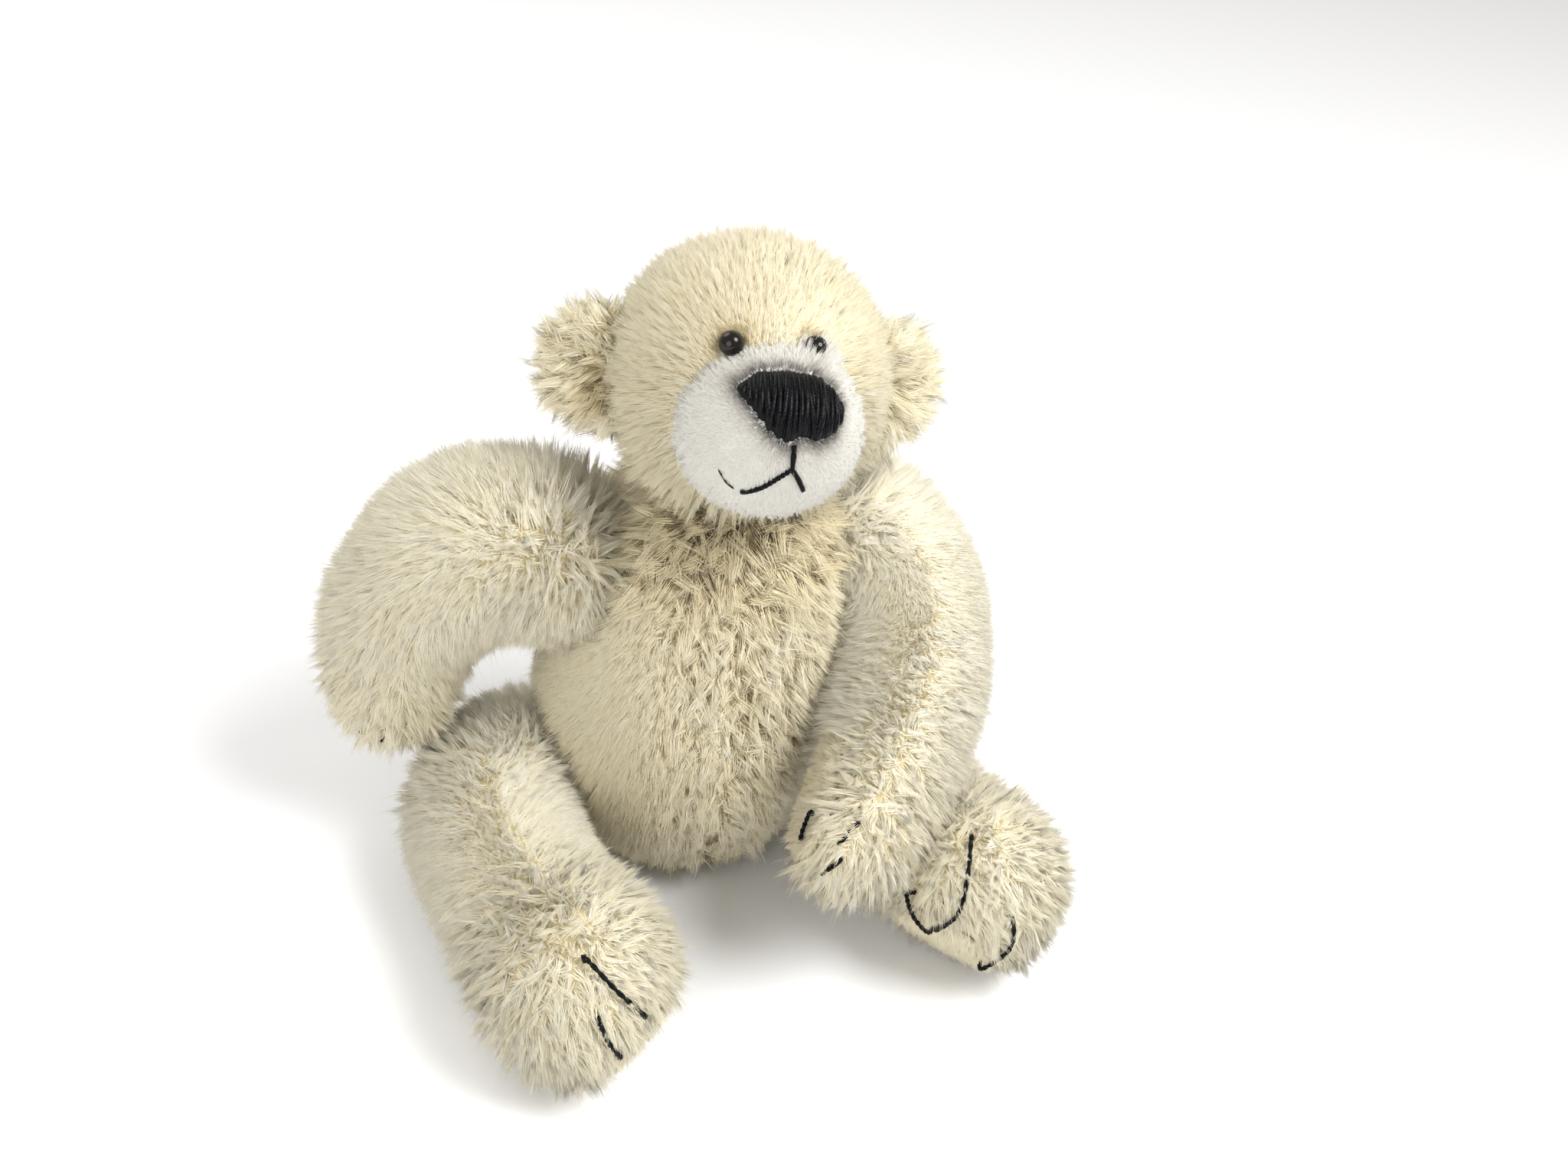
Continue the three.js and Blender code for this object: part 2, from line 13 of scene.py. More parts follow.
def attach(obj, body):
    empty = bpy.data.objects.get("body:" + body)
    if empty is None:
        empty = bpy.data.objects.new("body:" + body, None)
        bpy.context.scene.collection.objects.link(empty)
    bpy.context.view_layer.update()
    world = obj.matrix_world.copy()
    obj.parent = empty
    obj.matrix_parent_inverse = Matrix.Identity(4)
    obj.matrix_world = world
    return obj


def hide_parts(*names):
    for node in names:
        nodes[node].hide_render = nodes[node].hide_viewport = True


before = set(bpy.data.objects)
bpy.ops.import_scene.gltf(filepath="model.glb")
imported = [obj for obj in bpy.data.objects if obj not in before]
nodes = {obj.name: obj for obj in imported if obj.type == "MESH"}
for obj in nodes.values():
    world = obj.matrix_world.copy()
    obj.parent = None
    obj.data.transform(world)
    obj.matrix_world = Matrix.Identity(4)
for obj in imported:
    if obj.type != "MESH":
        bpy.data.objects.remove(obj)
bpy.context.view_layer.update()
scene = bpy.context.scene
SEED = 11
rng = np.random.default_rng(SEED)
MM = 0.001
SIDES = ("right", "left")

# ---------------------------------------------------------------- places, in millimetres

NECK = (4, -3, 79)
SEAM_FOOT, SEAM_TOP = -1.2, 4.0
HEAD_CENTRE = (5, -4, 98.2)
HEAD_TURN = Euler((math.radians(-20), math.radians(2.5), math.radians(-10)), "ZXY")
MUZZLE_CENTRE = (0.8, -16.5, -6.0)
EYES = {side: (s * 6.6, -20.2, 7.1) for side, s in zip(SIDES, (-1, 1))}
SPINES = {
    "arm_right": [(-15.8, 0, 62), (-27, 0.5, 63), (-37, 2.5, 65.4), (-45.4, 5, 59), (-51.5, 7, 47),
                  (-53, 7, 33.4)],
    "arm_left": [(19.8, 0, 60), (29.8, -0.5, 60.8), (36, -6, 56.8), (37.8, -14, 49.2), (33, -26.5, 41.2),
                 (24.5, -38, 35.8), (15.8, -46.5, 30.9)],
    "leg_right": [(-22, 0, 14.5), (-31.8, 0, 15.2), (-38.8, -9.5, 14.6), (-39.2, -23, 14), (-36, -39, 14),
                  (-33.2, -54, 15.8)],
    "leg_left": [(22, 0, 14.5), (31.8, 0, 14.5), (38.2, -9.5, 13.7), (39.8, -22, 12.8), (40.6, -36, 13.3),
                 (40.8, -49, 15.9)],
}
TIP_RADIUS = {"arm_right": 10.3, "arm_left": 10.3, "leg_right": 15.5, "leg_left": 15.6}
PADS = {limb: f"{limb}_paw_pad" if limb.startswith("arm") else f"{limb}_foot_pad" for limb in SPINES}


def head_matrix():
    # three.js applies its ZXY angles as Z, then X, then Y of the turned head
    x, y, z = HEAD_TURN.x, HEAD_TURN.y, HEAD_TURN.z
    turn = Matrix.Rotation(z, 4, "Z") @ Matrix.Rotation(x, 4, "X") @ Matrix.Rotation(y, 4, "Y")
    return Matrix.Translation(Vector(HEAD_CENTRE)) @ turn


HEAD = np.array(head_matrix())


def from_head(points):
    """Millimetres in the head's own frame to millimetres in the bear's."""
    points = np.atleast_2d(np.asarray(points, float))
    return points @ HEAD[:3, :3].T + HEAD[:3, 3]


def to_head(points):
    return (points - HEAD[:3, 3]) @ HEAD[:3, :3]


# ---------------------------------------------------------------- mesh helpers

def unit(vectors):
    return vectors / np.maximum(np.linalg.norm(vectors, axis=-1, keepdims=True), 1e-9)


def new_object(name, mesh):
    obj = bpy.data.objects.new(name, mesh)
    scene.collection.objects.link(obj)
    return obj


def joined(name, node_names):
    bm = bmesh.new()
    for node in node_names:
        bm.from_mesh(nodes[node].data)
    bmesh.ops.remove_doubles(bm, verts=bm.verts, dist=1e-6)
    mesh = bpy.data.meshes.new(name)
    bm.to_mesh(mesh)
    bm.free()
    return new_object(name, mesh)


def dress(obj, material):
    """Gives an object one material in place of those it has."""
    obj.data.materials.clear()
    obj.data.materials.append(material)


def bake_modifiers(obj):
    depsgraph = bpy.context.evaluated_depsgraph_get()
    mesh = bpy.data.meshes.new_from_object(obj.evaluated_get(depsgraph))
    obj.modifiers.clear()
    obj.data = mesh


def coords(mesh):
    flat = np.empty(len(mesh.vertices) * 3)
    mesh.vertices.foreach_get("co", flat)
    return flat.reshape(-1, 3)


def set_coords(mesh, points):
    mesh.vertices.foreach_set("co", points.ravel())
    mesh.update()


def keep_largest_island(obj):
    bm = bmesh.new()
    bm.from_mesh(obj.data)
    left = set(bm.verts)
    islands = []
    while left:
        stack = [left.pop()]
        island = list(stack)
        while stack:
            for edge in stack.pop().link_edges:
                for vert in edge.verts:
                    if vert in left:
                        left.discard(vert)
                        stack.append(vert)
                        island.append(vert)
        islands.append(island)
    islands.sort(key=len)
    for island in islands[:-1]:
        bmesh.ops.delete(bm, geom=island, context="VERTS")
    bm.to_mesh(obj.data)
    bm.free()


CLOTH_STEPS = 20
CLOTH_PRESSURE = 4


def puff(obj, cap, scale=2.5):
    """Blows a closed skin up with cloth pressure and caps how far a point moves."""
    start = coords(obj.data)
    set_coords(obj.data, start * scale)
    cloth = obj.modifiers.new("Cloth", "CLOTH")
    cloth.settings.use_pressure = True
    cloth.settings.uniform_pressure_force = CLOTH_PRESSURE
    cloth.settings.effector_weights.gravity = 0
    cloth.point_cache.frame_start = 1
    cloth.point_cache.frame_end = CLOTH_STEPS
    for step in range(1, CLOTH_STEPS + 1):
        scene.frame_set(step)
    depsgraph = bpy.context.evaluated_depsgraph_get()
    end = coords(obj.evaluated_get(depsgraph).data) / scale
    obj.modifiers.remove(cloth)
    scene.frame_set(1)
    move = end - start
    length = np.linalg.norm(move, axis=1, keepdims=True)
    set_coords(obj.data, start + move * np.minimum(1, cap / np.maximum(length, 1e-9)))


def neighbour_mean(mesh, values, times):
    """Averages a per-vertex value with its neighbours' a number of times."""
    edges = np.empty(len(mesh.edges) * 2, np.int32)
    mesh.edges.foreach_get("vertices", edges)
    a, b = edges.reshape(-1, 2).T
    count = np.bincount(np.concatenate([a, b]), minlength=len(values)) + 1
    for _ in range(times):
        total = values + np.bincount(a, values[b], len(values)) + np.bincount(b, values[a], len(values))
        values = total / count
    return values


def settle(obj, tree, lift):
    """Moves a smoothed skin back out to where the CAD surface lies on average."""
    mesh = obj.data
    points = coords(mesh) / MM
    normals = np.empty(len(mesh.vertices) * 3)
    mesh.vertices.foreach_get("normal", normals)
    normals = normals.reshape(-1, 3)
    gaps, places = nearest(tree, points, 4)
    outward = np.sign(((places - points) * normals).sum(1)) * np.minimum(gaps, 2.5)
    outward = neighbour_mean(mesh, outward, 12) + lift
    set_coords(mesh, (points + normals * outward[:, None]) * MM)


def soft_skin(name, node_names, voxel, cap, smooth=14, subdivide=1, lift=0.15):
    """One closed, smooth, stuffed surface over the given CAD solids."""
    obj = joined(name, node_names)
    tree = surface(obj)["tree"]
    remesh = obj.modifiers.new("Remesh", "REMESH")
    remesh.mode = "VOXEL"
    remesh.voxel_size = voxel * MM
    bake_modifiers(obj)
    keep_largest_island(obj)
    puff(obj, cap * MM)
    relax = obj.modifiers.new("Smooth", "SMOOTH")
    relax.factor = 0.5
    relax.iterations = smooth
    if subdivide:
        obj.modifiers.new("Subdivision", "SUBSURF").levels = subdivide
        obj.modifiers["Subdivision"].render_levels = subdivide
    bake_modifiers(obj)
    settle(obj, tree, lift)
    obj.data.polygons.foreach_set("use_smooth", np.ones(len(obj.data.polygons), bool))
    return obj


def surface(obj):
    """Vertices and normals (mm) and triangles of a skin, with a tree for nearest points."""
    mesh = obj.data
    normals = np.empty(len(mesh.vertices) * 3)
    mesh.vertices.foreach_get("normal", normals)
    mesh.calc_loop_triangles()
    tris = np.empty(len(mesh.loop_triangles) * 3, np.int32)
    mesh.loop_triangles.foreach_get("vertices", tris)
    points, tris = coords(mesh) / MM, tris.reshape(-1, 3)
    tree = BVHTree.FromPolygons(points.tolist(), tris.tolist())
    return {"points": points, "normals": normals.reshape(-1, 3), "tris": tris, "tree": tree}


def nearest(tree, points, reach=1e9):
    """Distance to, and nearest point on, a tree's surface, for each point."""
    places, gaps = points.copy(), np.full(len(points), reach)
    for i, p in enumerate(points.tolist()):
        found = tree.find_nearest(p, reach)
        if found[0] is not None:
            places[i], gaps[i] = found[0], found[3]
    return gaps, places


def node_tree(*names):
    obj = joined("tree", names)
    tree = surface(obj)["tree"]
    bpy.data.objects.remove(obj)
    return tree


def mesh_from(name, points, normals, faces, sizes, slots, materials):
    """A mesh from flat arrays: points (mm), normals, face corners, corners per face, material per face."""
    mesh = bpy.data.meshes.new(name)
    mesh.vertices.add(len(points))
    mesh.vertices.foreach_set("co", (np.asarray(points, np.float32) * MM).ravel())
    mesh.loops.add(len(faces))
    mesh.loops.foreach_set("vertex_index", np.asarray(faces, np.int32))
    starts = np.concatenate([[0], np.cumsum(sizes)[:-1]])
    mesh.polygons.add(len(sizes))
    mesh.polygons.foreach_set("loop_start", starts.astype(np.int32))
    mesh.polygons.foreach_set("material_index", np.asarray(slots, np.int32))
    for material in materials:
        mesh.materials.append(material)
    mesh.update(calc_edges=True)
    own = mesh.attributes.new("custom_normal", "FLOAT_VECTOR", "POINT")
    own.data.foreach_set("vector", np.asarray(normals, np.float32).ravel())
    mesh.update()
    return new_object(name, mesh)


# ---------------------------------------------------------------- materials

def new_material(name, color, roughness, **values):
    material = bpy.data.materials.new(name)
    material.use_nodes = True
    shader = material.node_tree.nodes["Principled BSDF"]
    shader.inputs["Base Color"].default_value = (*color, 1)
    shader.inputs["Roughness"].default_value = roughness
    for key, value in values.items():
        shader.inputs[key.replace("_", " ")].default_value = value
    return material


def add_node(material, kind, **settings):
    node = material.node_tree.nodes.new(kind)
    for key, value in settings.items():
        if key in node.inputs:
            node.inputs[key].default_value = value
        else:
            setattr(node, key, value)
    return node


def link(material, source, output, target, socket):
    material.node_tree.links.new(source.outputs[output], target.inputs[socket])


MOTTLE_ENDS = (0.32, 0.68)
MOTTLE_RELIEF = 0.0004


def mottled(material, colors, scale, bump=0.0):
    """Colour from noise in object space, and a bump from finer noise."""
    shader = material.node_tree.nodes["Principled BSDF"]
    place = add_node(material, "ShaderNodeTexCoord")
    noise = add_node(material, "ShaderNodeTexNoise", Scale=scale, Detail=3)
    link(material, place, "Object", noise, "Vector")
    ramp = add_node(material, "ShaderNodeValToRGB")
    for element, position, color in zip(ramp.color_ramp.elements, MOTTLE_ENDS, colors):
        element.position = position
        element.color = (*color, 1)
    link(material, noise, "Fac", ramp, "Fac")
    link(material, ramp, "Color", shader, "Base Color")
    if bump:
        fine = add_node(material, "ShaderNodeTexNoise", Scale=scale * 4, Detail=2)
        link(material, place, "Object", fine, "Vector")
        raised = add_node(material, "ShaderNodeBump", Strength=bump, Distance=MOTTLE_RELIEF)
        link(material, fine, "Fac", raised, "Height")
        link(material, raised, "Normal", shader, "Normal")
    return material


def woven_backing():
    """Tan mohair backing: two sets of crossing threads."""
    material = new_material("woven_backing", (0.62, 0.54, 0.40), 0.9)
    shader = material.node_tree.nodes["Principled BSDF"]
    place = add_node(material, "ShaderNodeTexCoord")
    waves = []
    for direction in ("X", "Z"):
        wave = add_node(material, "ShaderNodeTexWave", Scale=330, Distortion=1.2, wave_type="BANDS",
                        bands_direction=direction)
        link(material, place, "Object", wave, "Vector")
        waves.append(wave)
    cross = add_node(material, "ShaderNodeMath", operation="MULTIPLY")
    link(material, waves[0], "Fac", cross, 0)
    link(material, waves[1], "Fac", cross, 1)
    ramp = add_node(material, "ShaderNodeValToRGB")
    ramp.color_ramp.elements[0].color = (0.60, 0.50, 0.30, 1)
    ramp.color_ramp.elements[1].color = (0.84, 0.76, 0.52, 1)
    link(material, cross, "Value", ramp, "Fac")
    link(material, ramp, "Color", shader, "Base Color")
    raised = add_node(material, "ShaderNodeBump", Strength=0.5, Distance=0.0002)
    link(material, cross, "Value", raised, "Height")
    link(material, raised, "Normal", shader, "Normal")
    return material


def pile_tones(name, colors, roughness, sheen):
    """Strand materials from the dark root to the pale tip."""
    return [new_material(f"{name}_{i}", color, roughness, Sheen_Weight=sheen, Sheen_Roughness=0.4)
            for i, color in enumerate(colors)]


MOHAIR_TONES = [
    (0.10, 0.085, 0.07), (0.28, 0.22, 0.13), (0.48, 0.39, 0.22), (0.68, 0.575, 0.36),
    (0.81, 0.71, 0.47), (0.885, 0.80, 0.58), (0.925, 0.865, 0.67), (0.95, 0.91, 0.78),
]
VELOUR_TONES = [
    (0.05, 0.047, 0.042), (0.15, 0.14, 0.125), (0.30, 0.28, 0.25), (0.48, 0.455, 0.41),
    (0.66, 0.635, 0.575), (0.79, 0.765, 0.70), (0.86, 0.84, 0.765), (0.92, 0.905, 0.84),
]
MOHAIR = pile_tones("mohair", MOHAIR_TONES, 0.55, 0.1)
VELOUR = pile_tones("velour", VELOUR_TONES, 0.75, 0.1)
BACKING = woven_backing()
VELOUR_BACK = mottled(new_material("velour_back", (0.86, 0.85, 0.82), 0.9),
                      [(0.80, 0.79, 0.76), (0.90, 0.89, 0.87)], 260, bump=0.5)
# The pads' felt is cream, given the darker colour of the fur in shadow: its own colour with painted shade.
FELT = mottled(new_material("felt", (0.74, 0.69, 0.57), 0.95, Sheen_Weight=0.3),
               [(0.66, 0.60, 0.47), (0.80, 0.75, 0.63)], 420, bump=0.7)
THREAD = mottled(new_material("black_thread", (0.003, 0.0032, 0.004), 0.22, Specular_IOR_Level=0.12),
                 [(0.0015, 0.0016, 0.002), (0.006, 0.0065, 0.008)], 900, bump=0.25)
EYE = mottled(new_material("eye_glass", (0.006, 0.005, 0.005), 0.07, Specular_IOR_Level=0.35),
              [(0.004, 0.003, 0.003), (0.012, 0.008, 0.006)], 120)
FIBREBOARD = mottled(new_material("fibreboard", (0.42, 0.3, 0.19), 0.85),
                     [(0.32, 0.22, 0.13), (0.52, 0.38, 0.25)], 300, bump=0.5)
STEEL = mottled(new_material("steel", (0.6, 0.6, 0.62), 0.32, Metallic=1.0),
                [(0.5, 0.51, 0.52), (0.68, 0.69, 0.70)], 150, bump=0.15)
FILLING = mottled(new_material("filling", (0.93, 0.92, 0.89), 1.0),
                  [(0.86, 0.85, 0.81), (0.97, 0.96, 0.94)], 220, bump=1.0)
CALICO = mottled(new_material("calico", (0.55, 0.51, 0.45), 0.95),
                 [(0.46, 0.42, 0.36), (0.64, 0.60, 0.53)], 500, bump=0.6)

# ---------------------------------------------------------------- stuffed skins

def limb_nodes(part):
    return [f"{part}_outer_panel", f"{part}_inner_panel", f"{part}_stuffing"]


SKIN_NODES = {
    "torso": ["body_panel_right", "body_panel_left", "body_stuffing", "shot_bag"],
    "head": ["head_panel_right", "head_panel_left", "head_gusset", "head_stuffing"],
    **{limb: limb_nodes(limb) for limb in SPINES},
}
REPLACED = {
    "torso": ["body_panel_right", "body_panel_left"],
    "head": ["head_panel_right", "head_panel_left", "head_gusset"],
    **{limb: limb_nodes(limb)[:2] for limb in SPINES},
}
skins = {}
for part, names in SKIN_NODES.items():
    obj = soft_skin(f"{part}_skin", names, voxel=1.8, cap=0.5)
    dress(obj, BACKING)
    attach(obj, part)
    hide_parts(*REPLACED[part])
    skins[part] = surface(obj)

muzzle = soft_skin("muzzle_skin", ["muzzle_cover", "head_stuffing"], voxel=1.2, cap=0.4, smooth=10)
dress(muzzle, VELOUR_BACK)
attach(muzzle, "head")
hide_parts("muzzle_cover")
muzzle_skin = surface(muzzle)

ear_skins = {}
for side in SIDES:
    obj = soft_skin(f"ear_{side}_skin", [f"ear_{side}"], voxel=0.9, cap=0.3, smooth=8)
    dress(obj, BACKING)
    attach(obj, "head")
    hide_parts(f"ear_{side}")
    ear_skins[side] = surface(obj)

pad_skins = {}
for limb, pad in PADS.items():
    obj = soft_skin(f"{pad}_felt", [pad], voxel=0.45, cap=0.2, smooth=4, subdivide=0)
    dress(obj, FELT)
    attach(obj, limb)
    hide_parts(pad)
    pad_skins[limb] = surface(obj)

# ---------------------------------------------------------------- pile

def along_path(part, points):
    """Unit direction of a limb's spine beside each point, toward the paw."""
    spine = np.array(SPINES[part], float)
    a, step = spine[:-1], np.diff(spine, axis=0)
    t = np.einsum("psk,sk->ps", points[:, None] - a, step) / (step ** 2).sum(1)
    foot = a + np.clip(t, 0, 1)[..., None] * step
    best = ((points[:, None] - foot) ** 2).sum(2).argmin(1)
    return unit(step)[best]


def seam_field(points, tree_a, tree_b, reach=14):
    """Distance from a seam between two panels, and the direction away from it."""
    gap_a, at_a = nearest(tree_a, points, reach)
    gap_b, at_b = nearest(tree_b, points, reach)
    on_a = gap_a < gap_b
    distance = np.maximum(gap_a, gap_b)
    away = np.where(on_a[:, None], points - at_b, points - at_a)
    return distance, unit(away)


def tangent(direction, normals):
    return direction - (direction * normals).sum(1, keepdims=True) * normals


def scatter(skin, weights, count):
    """Random roots on a skin, denser where the vertex weights are higher."""
    points, tris = skin["points"], skin["tris"]
    a, b, c = (points[tris[:, k]] for k in range(3))
    area = np.linalg.norm(np.cross(b - a, c - a), axis=1) / 2
    share = area * weights[tris].mean(1)
    pick = rng.choice(len(tris), count, p=share / share.sum())
    u, v = rng.random(count), rng.random(count)
    fold = u + v > 1
    u, v = np.where(fold, 1 - u, u), np.where(fold, 1 - v, v)
    bary = np.stack([1 - u - v, u, v], 1)
    return tris[pick], bary


def mix(values, corners, bary):
    picked = values[corners]
    if picked.ndim == 2:
        return (picked * bary).sum(1)
    return (picked * bary[..., None]).sum(1)


def strand_paths(roots, normals, comb, length, lift, steps):
    """Points of each strand: it leaves at an angle to the skin and bends over toward its comb."""
    path = [roots]
    for step in range(steps):
        angle = lift * (1.1 - 0.35 * (step + 0.5) / steps)
        heading = comb * np.cos(angle)[:, None] + normals * np.sin(angle)[:, None]
        path.append(path[-1] + heading * (length / steps)[:, None])
    return np.stack(path, 1)


def needles(paths, normals, width, soft):
    """Three-sided tapered strands: points, normals, and the corners and sizes of one strand's faces."""
    count, steps = len(paths), paths.shape[1] - 1
    heading = unit(np.diff(paths, axis=1))
    u = unit(np.cross(heading, rng.normal(0, 1, (count, 1, 3))))
    v = np.cross(heading, u)
    turn = np.arange(3) * 2 * math.pi / 3
    ring = u[:, :, None] * np.cos(turn)[:, None] + v[:, :, None] * np.sin(turn)[:, None]
    taper = width / 2 * (1 - 0.6 * np.arange(steps) / steps)[None, :, None, None]
    taper = taper * rng.uniform(0.75, 1.25, count)[:, None, None, None]
    points = np.concatenate([(paths[:, :-1, None] + ring * taper).reshape(count, -1, 3), paths[:, -1:]], 1)
    lean = unit(normals[:, None, None] * soft + ring * (1 - soft)).reshape(count, -1, 3)
    lean = np.concatenate([lean, normals[:, None]], 1)
    corners, sizes = [], []
    for k in range(steps):
        for a, b in ((0, 1), (1, 2), (2, 0)):
            low, top = (3 * k + a, 3 * k + b), (3 * k + 3 + b, 3 * k + 3 + a)
            corners += [*low, *(top if k < steps - 1 else (3 * steps,))]
            sizes.append(4 if k < steps - 1 else 3)
    return points, lean, corners, sizes


def grow(name, skin, body, slot, materials, fields, count, steps=1, width=0.15, soft=0.75, tone=(4.0, 5.5)):
    """A coat of tapered strands in locks. fields holds per-vertex weight, comb, length, lift, wild and shade:
    where wild is 0 the pile is even and upright like velvet, and where it is 1 it lies in separate tufts."""
    corners, bary = scatter(skin, fields["weight"], count)
    roots, normals = mix(skin["points"], corners, bary), unit(mix(skin["normals"], corners, bary))
    wild = np.clip(mix(fields["wild"], corners, bary), 0, 1)
    shade = mix(fields["shade"], corners, bary)
    comb = unit(tangent(mix(fields["comb"], corners, bary), normals) + 1e-6)

    guides = rng.choice(count, max(8, int(count / fields["per_lock"])), replace=False)
    tree = KDTree(len(guides))
    for i, g in enumerate(guides):
        tree.insert(roots[g], i)
    tree.balance()
    lock = np.array([tree.find(p)[1] for p in roots.tolist()])

    def wander(calm, free, lock_calm, lock_free):
        """Noise of each strand and of its lock, wider where the pile is wild."""
        own = rng.normal(0, 1, count) * (calm + (free - calm) * wild)
        return own + rng.normal(0, 1, len(guides))[lock] * (lock_calm + (lock_free - lock_calm) * wild)

    length = mix(fields["length"], corners, bary) * rng.uniform(0.75, 1.1, count)
    length = length * np.clip(1 + wander(0, 0, 0.03, 0.22), 0.5, 1.6)
    length = np.where(rng.random(count) < 0.003, np.minimum(length * 1.9, 9), length)
    lift = np.clip(mix(fields["lift"], corners, bary) + wander(0.1, 0.2, 0.05, 0.22), 0.15, 1.5)
    side = np.cross(normals, comb)
    sway = wander(0.2, 0.3, 0.15, 0.6)
    comb = unit(comb * np.cos(sway)[:, None] + side * np.sin(sway)[:, None])

    paths = strand_paths(roots, normals, comb, length, lift, steps)
    lead = paths[guides][lock]
    scale = (length / np.maximum(length[guides][lock], 0.3))[:, None, None]
    lead = lead[:, :1] + (lead - lead[:, :1]) * scale
    pull = (np.linspace(0, 1, steps + 1) ** 1.3)[None, :, None] * (0.1 + 0.68 * wild)[:, None, None]
    paths = paths * (1 - pull) + lead * pull
    paths[..., 2] = np.maximum(paths[..., 2], 0.1 + 0.3 * rng.random(count)[:, None])

    facing = unit(mix(fields.get("facing", skin["normals"]), corners, bary))
    points, leans, corner, sizes = needles(paths, facing, width, soft)
    faces = (np.array(corner)[None] + points.shape[1] * np.arange(count)[:, None]).ravel()
    level = tone[0] + (tone[1] - tone[0]) * np.linspace(0, 1, steps + 1)[None, 1:]
    level = level + shade[:, None] + wander(0.3, 0.5, 0.08, 0.4)[:, None]
    slots = np.clip(np.rint(level), 0, len(materials) - 1).repeat(3, axis=1).ravel()
    obj = mesh_from(name, points.reshape(-1, 3), leans.reshape(-1, 3), faces, sizes * count, slots, materials)
    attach(obj, body)
    return obj


def joint_clearance(part, points):
    """Distance from each point to the nearest other stuffed part."""
    gaps = np.full(len(points), 20.0)
    for other, skin in skins.items():
        if other != part:
            gaps = np.minimum(gaps, nearest(skin["tree"], points, 20.0)[0])
    return gaps


# Tufts that stick out of a joint catch the light, so their shading leans this way.
TOWARD_LIGHT = np.array([0.1, -0.5, 0.86])


def coat_fields(part, comb, length, seam_trees, seam=1.0, wild=0.0, per_lock=16):
    """Fields shared by every coat: parted at the seams, left out where parts press together."""
    skin = skins[part]
    points, normals = skin["points"], skin["normals"]
    gap = joint_clearance(part, points)
    distance, away = seam_field(points, *seam_trees)
    near = seam * np.exp(-distance / 2.5)
    edge = np.exp(-np.maximum(gap - 1, 0) / 3.5)
    along, apart = unit(tangent(comb, normals)), unit(tangent(away, normals))
    comb = unit(along * (1 - near)[:, None] + apart * near[:, None] * 1.6)
    return {
        "weight": (gap > 0.9) * np.where(distance < 0.5, 1 - 0.5 * seam, 1.0),
        "comb": comb,
        "length": np.minimum(length + 1.4 * edge, 1.2 + gap * 1.7),
        "lift": 1.25 - 0.35 * near,
        "wild": wild + 0.4 * near + 0.7 * edge,
        # Painted shade: the pile darkens near a joint, where parts press together.
        "shade": -0.3 * edge,
        "facing": unit(normals + edge[:, None] * 1.2 * TOWARD_LIGHT),
        "per_lock": per_lock,
    }


def region(fields, mask):
    """The same coat on part of a skin."""
    return dict(fields, weight=fields["weight"] * mask)


DOWN = np.array([0.0, 0.0, -1.0])


def patches(points, size=7.0):
    """A slow wave over a skin, 0 to 1, for fur that is smooth in one place and tufted in the next."""
    x, y, z = (points / size).T
    wave = np.sin(x + 1.7 * np.sin(0.6 * z)) + np.sin(1.1 * y + 1.3 * np.sin(0.8 * x) + 2)
    wave = wave + np.sin(0.9 * z + 1.1 * y)
    return np.clip(0.5 + 0.35 * wave, 0, 1)


STRANDS = {"belly": 22000, "flank_right": 64000, "flank_left": 60000, "limb_panel": 44000, "pad": 6000,
           "head_top": 50000, "head_sides": 60000, "ear": 15000, "muzzle": 66000}
# Painted shade: the belly's strands are dark toward the root, for the shade in the gaps between its tufts.
BELLY_COAT = {"steps": 2, "width": 0.17, "soft": 0.5, "tone": (0.6, 5.5)}
EAR_COAT = {"steps": 2, "width": 0.15, "soft": 0.25}
MUZZLE_COAT = {"width": 0.13, "soft": 0.65, "tone": (6.1, 6.5)}
# Painted light: each limb's pile is lightened as if lit by the key light, the right arm, turned away from it,
# less.
LIMB_PAINTED_LIGHT = {"arm_right": 0.5, "arm_left": 0.75, "leg_right": 0.75, "leg_left": 0.75}
CLAW_PILE = {"arm": 3.4, "leg": 2.6}
# Painted shade: a dark spot in the crease between the right ear and the head, on the pile of both.
EAR_CREASE_SHADE = to_head(np.array((-18.6, -1, 96.6)))
EAR_CREASE_SHADE_RADIUS = 2.6


